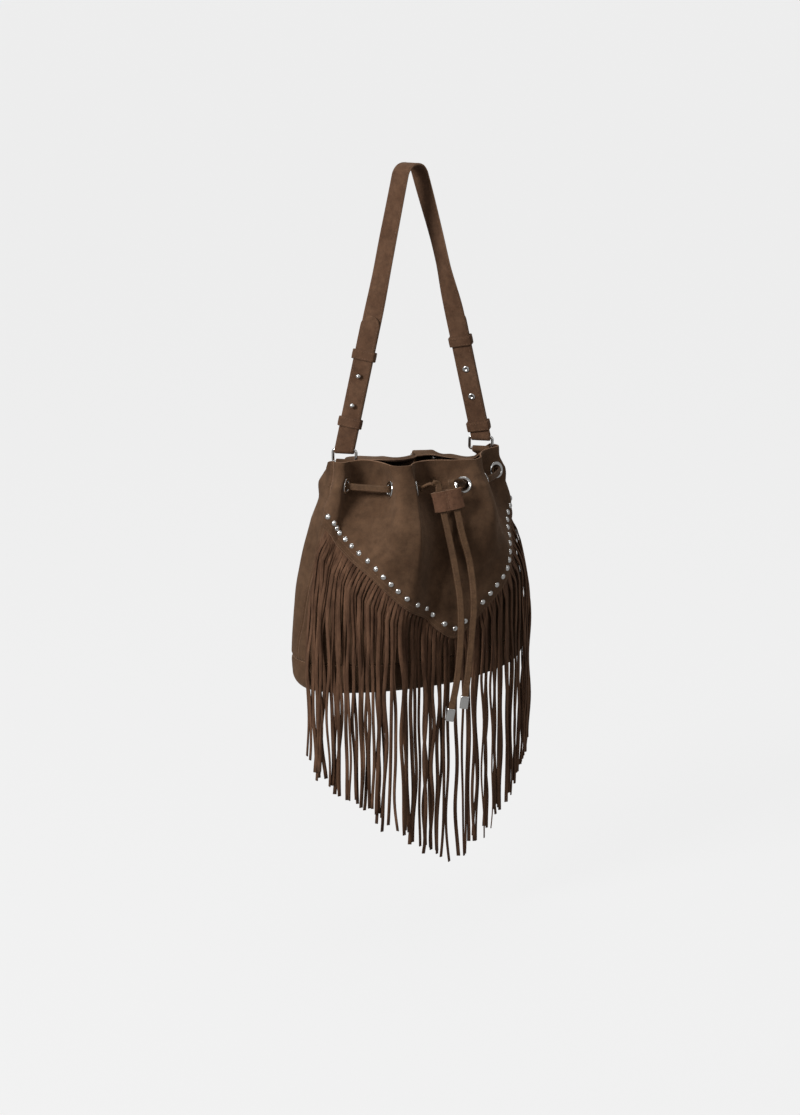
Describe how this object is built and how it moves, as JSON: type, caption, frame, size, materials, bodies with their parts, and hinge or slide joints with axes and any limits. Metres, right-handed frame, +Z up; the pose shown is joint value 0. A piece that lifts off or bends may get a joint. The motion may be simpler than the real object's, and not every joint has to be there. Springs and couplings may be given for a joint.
{
  "type": "fringed bucket bag",
  "caption": "Suede bucket bag with a gathered top on a drawstring through eyelets, a pointed studded yoke with long cut fringe, and a buckle-free shoulder strap on rings.",
  "frame": {"origin": "underside of the shoulder strap's crown, where a hook or hand carries the bag", "axes": "+Z up, -Y towards the fringed front, +X towards the bag's right side as seen from the front"},
  "size_m": [0.298, 0.2081, 0.7326],
  "materials": {
    "suede": "napped suede",
    "fringe_suede": "napped suede, cut edges",
    "leather": "smooth, matt",
    "nickel": "bright nickel plate"
  },
  "bodies": {
    "strap": {"shoulder_strap": "suede", "ball_stud_left_lower": "nickel", "ball_stud_left_upper": "nickel", "ball_stud_right_lower": "nickel", "ball_stud_right_upper": "nickel", "stud_screw_left_lower": "nickel", "stud_screw_left_upper": "nickel", "stud_screw_right_lower": "nickel", "stud_screw_right_upper": "nickel"},
    "keeper_left_lower": {"keeper_left_lower": "suede"},
    "keeper_left_upper": {"keeper_left_upper": "suede"},
    "keeper_right_lower": {"keeper_right_lower": "suede"},
    "keeper_right_upper": {"keeper_right_upper": "suede"},
    "ring_left": {"ring_left": "nickel"},
    "bag": {"base_panel": "suede", "back_panel": "suede", "front_panel": "suede", "front_yoke": "suede", "fringe_left": "fringe_suede", "fringe_right": "fringe_suede", "eyelet_front_1": "nickel", "eyelet_front_2": "nickel", "eyelet_front_3": "nickel", "eyelet_front_4": "nickel", "eyelet_front_5": "nickel", "eyelet_front_6": "nickel", "eyelet_back_1": "nickel", "eyelet_back_2": "nickel", "eyelet_back_3": "nickel", "eyelet_back_4": "nickel", "eyelet_back_5": "nickel", "eyelet_back_6": "nickel", "ring_tab_left": "suede", "ring_tab_right": "suede", "drawstring": "leather", "drawstring_end_left": "leather", "drawstring_end_right": "leather", "cord_tip_left": "nickel", "cord_tip_right": "nickel"},
    "ring_right": {"ring_right": "nickel"},
    "slider": {"cord_slider": "leather"}
  },
  "joints": [
    {"name": "ring_left_swing", "type": "hinge", "parent": "strap", "child": "ring_left", "pos_m": [-0.081, -0.003, -0.291], "axis": [0.766, -0.6428, 0], "range_deg": [-9, 9]},
    {"name": "bag_swing", "type": "slide", "parent": "strap", "child": "bag", "axis": [0.6428, 0.766, 0], "range_m": [-0.002, 0.002]},
    {"name": "ring_right_swing", "type": "hinge", "parent": "strap", "child": "ring_right", "pos_m": [0.081, 0.003, -0.291], "axis": [0.766, -0.6428, 0], "range_deg": [-9, 9]},
    {"name": "slider_slide", "type": "slide", "parent": "bag", "child": "slider", "axis": [0.1593, -0.1494, -0.9759], "range_m": [0, 0.02]},
    {"name": "keeper_left_lower_slide", "type": "slide", "parent": "strap", "child": "keeper_left_lower", "axis": [0.2415, 0.0296, 0.97], "range_m": [-0.007, 0.009]},
    {"name": "keeper_left_upper_slide", "type": "slide", "parent": "strap", "child": "keeper_left_upper", "axis": [0.2415, 0.0296, 0.97], "range_m": [-0.013, 0.03]},
    {"name": "keeper_right_lower_slide", "type": "slide", "parent": "strap", "child": "keeper_right_lower", "axis": [-0.2415, -0.0296, 0.97], "range_m": [-0.001, 0.025]},
    {"name": "keeper_right_upper_slide", "type": "slide", "parent": "strap", "child": "keeper_right_upper", "axis": [-0.2415, -0.0296, 0.97], "range_m": [-0.022, 0.022]}
  ],
  "couplings": [
    {"joint": "ring_left_swing", "follows": "bag_swing", "rad_per_m": 76.923},
    {"joint": "ring_right_swing", "follows": "bag_swing", "rad_per_m": 76.923}
  ]
}
